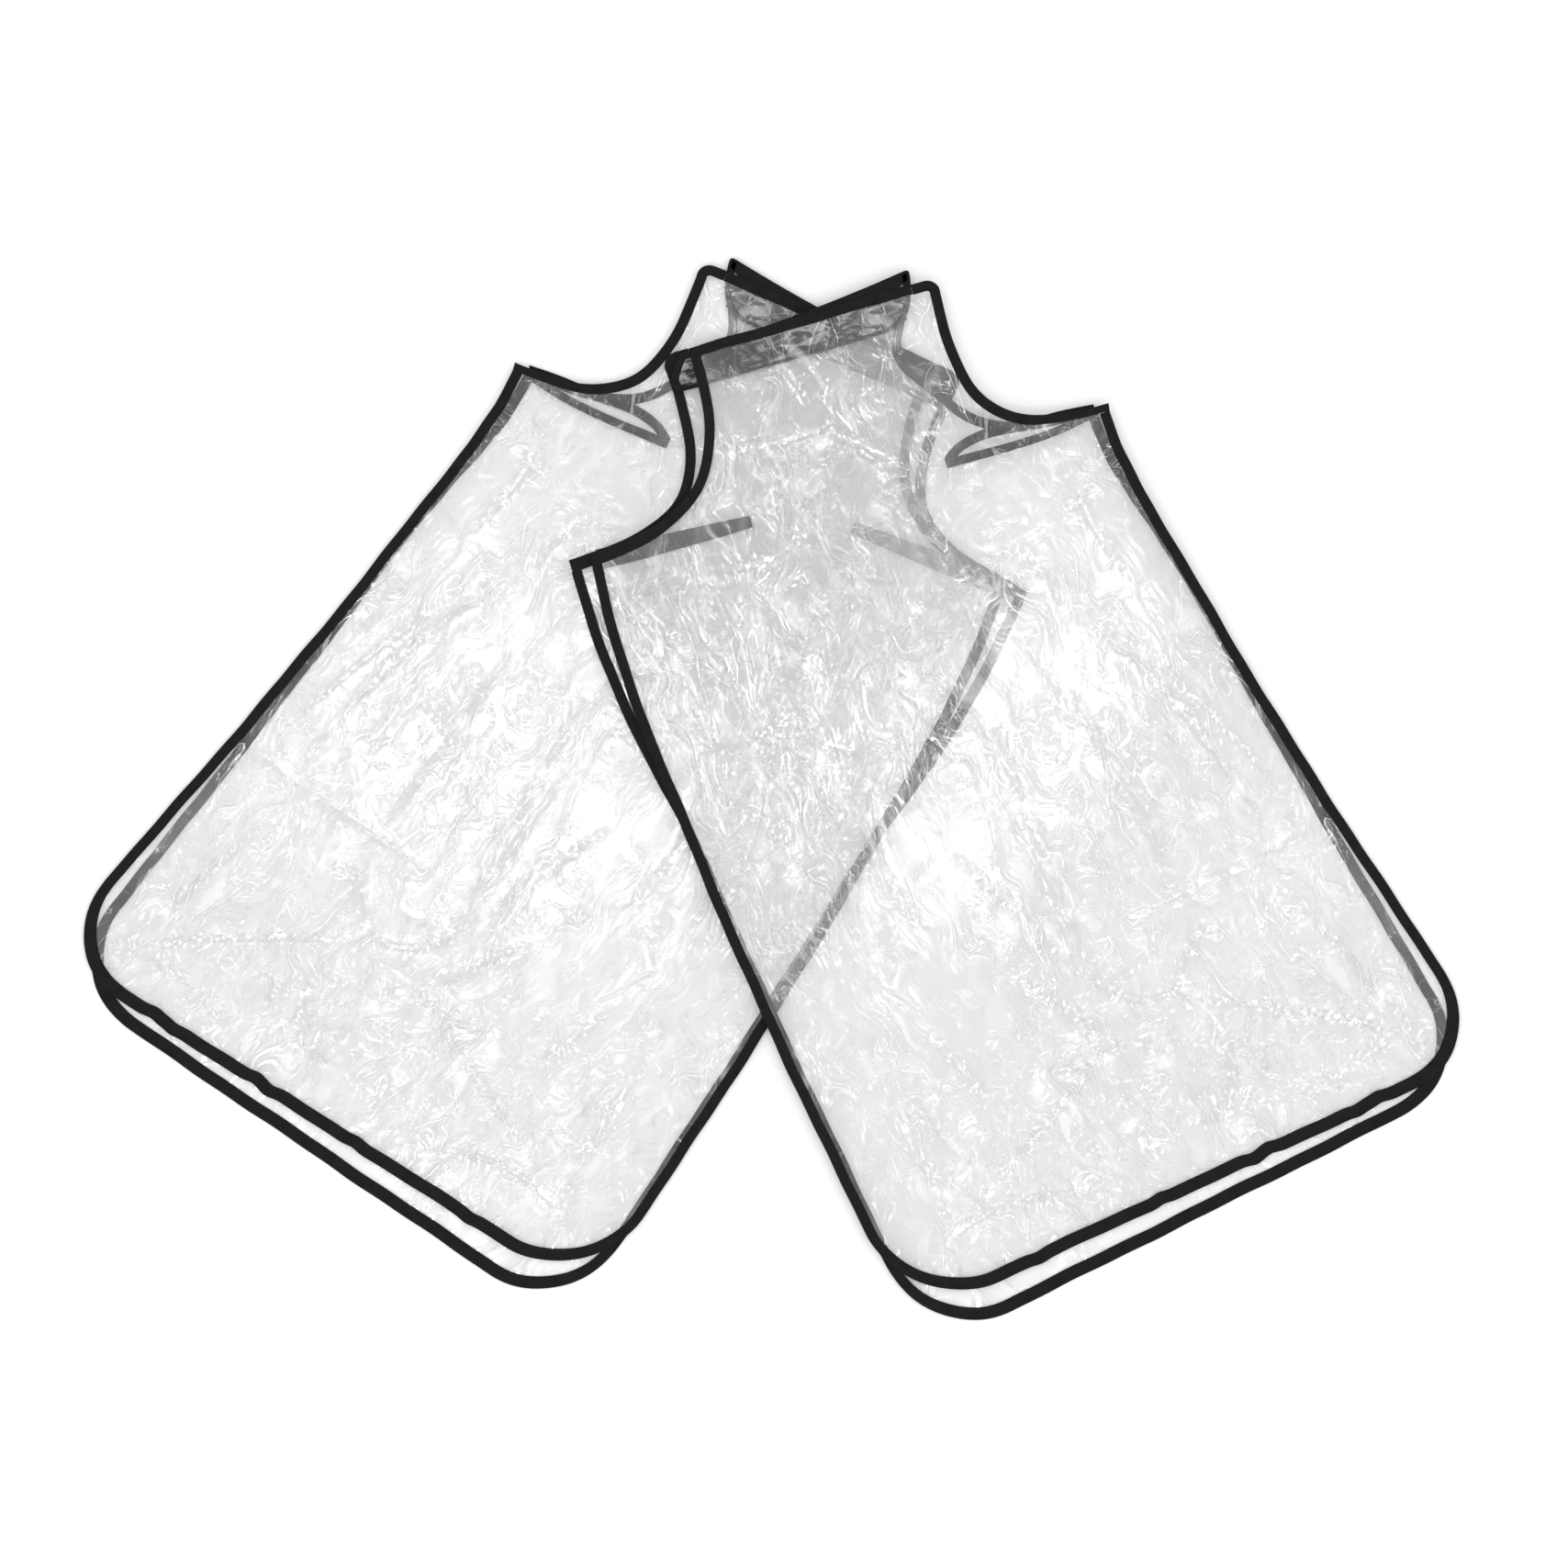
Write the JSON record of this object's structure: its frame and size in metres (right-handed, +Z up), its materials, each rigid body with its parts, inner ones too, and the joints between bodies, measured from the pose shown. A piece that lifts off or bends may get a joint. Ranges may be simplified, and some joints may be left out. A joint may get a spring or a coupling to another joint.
{
  "type": "barber cape",
  "caption": "Clear vinyl tabard capes with bound edges, folded collar bands and side straps, laid flat and crossed over each other.",
  "frame": {"origin": "centre of the pair's bounding box, on the table", "axes": "+X across the crossed pair, +Y towards the collars, +Z up from the table"},
  "size_m": [1.5896, 1.226, 0.0212],
  "materials": {
    "vinyl_film": "clear, glossy, creased",
    "binding_tape": "black woven binding tape, folded and stitched",
    "collar_cloth": "black woven cloth",
    "strap_tape": "black woven tape",
    "hook_tape": "black hook tape",
    "loop_tape": "black loop tape"
  },
  "bodies": {
    "lower_cape": {"lower_back_left_armhole_binding": "binding_tape", "lower_back_neck_binding": "binding_tape", "lower_back_panel": "vinyl_film", "lower_back_right_armhole_binding": "binding_tape", "lower_back_skirt_binding": "binding_tape", "lower_collar_back_band": "collar_cloth", "lower_collar_front_band": "collar_cloth", "lower_collar_hook_tape": "hook_tape", "lower_collar_loop_tape": "loop_tape", "lower_front_left_armhole_binding": "binding_tape", "lower_front_neck_binding": "binding_tape", "lower_front_panel": "vinyl_film", "lower_front_right_armhole_binding": "binding_tape", "lower_front_skirt_binding": "binding_tape", "lower_left_side_strap": "strap_tape", "lower_right_side_strap": "strap_tape"},
    "upper_cape": {"upper_back_left_armhole_binding": "binding_tape", "upper_back_neck_binding": "binding_tape", "upper_back_panel": "vinyl_film", "upper_back_right_armhole_binding": "binding_tape", "upper_back_skirt_binding": "binding_tape", "upper_collar_back_band": "collar_cloth", "upper_collar_loop_tape": "loop_tape", "upper_left_side_strap": "strap_tape", "upper_right_side_strap": "strap_tape"},
    "upper_front": {"upper_front_left_armhole_binding": "binding_tape", "upper_front_neck_binding": "binding_tape", "upper_front_panel": "vinyl_film", "upper_front_right_armhole_binding": "binding_tape", "upper_front_skirt_binding": "binding_tape", "upper_collar_front_band": "collar_cloth", "upper_collar_hook_tape": "hook_tape"}
  },
  "joints": [
    {"name": "upper_cape_lift", "type": "slide", "parent": "lower_cape", "child": "upper_cape", "axis": [0, 0, 1], "range_m": [0, 0.25]},
    {"name": "upper_front_open", "type": "hinge", "parent": "upper_cape", "child": "upper_front", "pos_m": [0.02334, 0.55738, 0.01605], "axis": [-0.9448, -0.3276, 0], "range_deg": [0, 60]}
  ]
}
